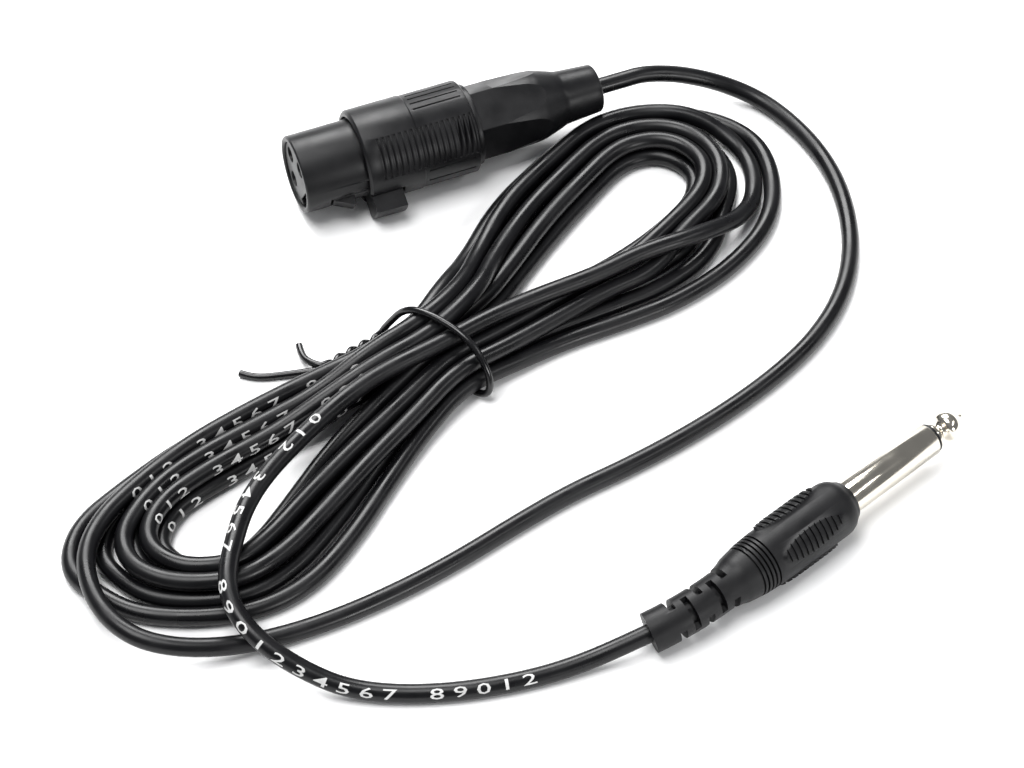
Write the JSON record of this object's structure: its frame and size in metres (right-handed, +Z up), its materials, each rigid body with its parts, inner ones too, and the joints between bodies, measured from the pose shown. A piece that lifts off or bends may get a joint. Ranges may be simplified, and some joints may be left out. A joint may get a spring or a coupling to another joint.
{
  "type": "microphone cord",
  "caption": "Thin black microphone cord with a female three-pole connector and a jack plug, folded into a tied hank.",
  "frame": {"origin": "on the floor, under the middle of the box round the two connectors", "axes": "+Z up from the floor; +Y from the jack's side towards the three-pole connector's side; +X to the right, the way the jack's tip points"},
  "size_m": [0.1657, 0.1531, 0.0193],
  "materials": {
    "black_shell": "fine satin moulded nylon",
    "black_grip": "fine grained moulded nylon",
    "black_insert": "moulded",
    "black_latch": "moulded",
    "black_boot": "smooth satin moulded",
    "plated_brass": "tin plated brass, dull",
    "steel": "bright spring steel",
    "grey_nylon": "moulded",
    "core_insulation": "extruded",
    "bare_copper": "stranded bare copper",
    "cord_jacket": "satin extruded PVC",
    "nickel_plate": "bright nickel plate",
    "black_insulator": "moulded",
    "inner_mould": "moulded",
    "moulded_pvc": "soft moulded PVC, fine matt",
    "tie_jacket": "PVC covered wire"
  },
  "bodies": {
    "root": {"xlr_nose_shell": "black_shell", "xlr_grip_collar": "black_grip", "xlr_insert_front": "black_insert", "xlr_insert_rear": "black_insert", "xlr_contact_1": "plated_brass", "xlr_contact_2": "plated_brass", "xlr_contact_3": "plated_brass", "xlr_latch_pin": "steel", "xlr_latch_spring": "steel", "xlr_hot_wire": "core_insulation", "xlr_shield_tail": "bare_copper", "xlr_link_wire": "bare_copper", "xlr_cord_end": "cord_jacket", "jack_tip": "nickel_plate", "jack_sleeve": "nickel_plate", "jack_front_ring": "black_insulator", "jack_inner_insulator": "black_insulator", "jack_rear_washer": "black_insulator", "jack_sleeve_lug": "steel", "jack_tip_lug": "steel", "jack_inner_mould": "inner_mould", "jack_body": "moulded_pvc", "jack_hot_wire": "core_insulation", "jack_shield_tail": "bare_copper", "jack_cord_end": "cord_jacket", "cord_hank": "cord_jacket", "cord_xlr_tail": "cord_jacket", "cord_jack_tail": "cord_jacket", "tie_wire": "tie_jacket"},
    "latch": {"xlr_latch_lever": "black_latch"},
    "clamp": {"xlr_strain_chuck": "grey_nylon"},
    "boot": {"xlr_boot": "black_boot"}
  },
  "joints": [
    {"name": "latch_press", "type": "hinge", "parent": "root", "child": "latch", "pos_m": [-0.0381, 0.04477, 0.00601], "axis": [-0.2085, 0.511, -0.8339], "range_deg": [0, 6], "stiffness_Nm_per_rad": 0.05, "springref_deg": -2.86},
    {"name": "boot_travel", "type": "slide", "parent": "root", "child": "clamp", "axis": [0.9259, 0.3778, 0], "range_m": [0, 0.006]},
    {"name": "boot_turn", "type": "hinge", "parent": "clamp", "child": "boot", "pos_m": [-0.02074, 0.0578, 0.00965], "axis": [0.9259, 0.3778, 0], "range_deg": [0, 2160]}
  ],
  "couplings": [
    {"joint": "boot_turn", "follows": "boot_travel", "rad_per_m": 6283.2}
  ]
}
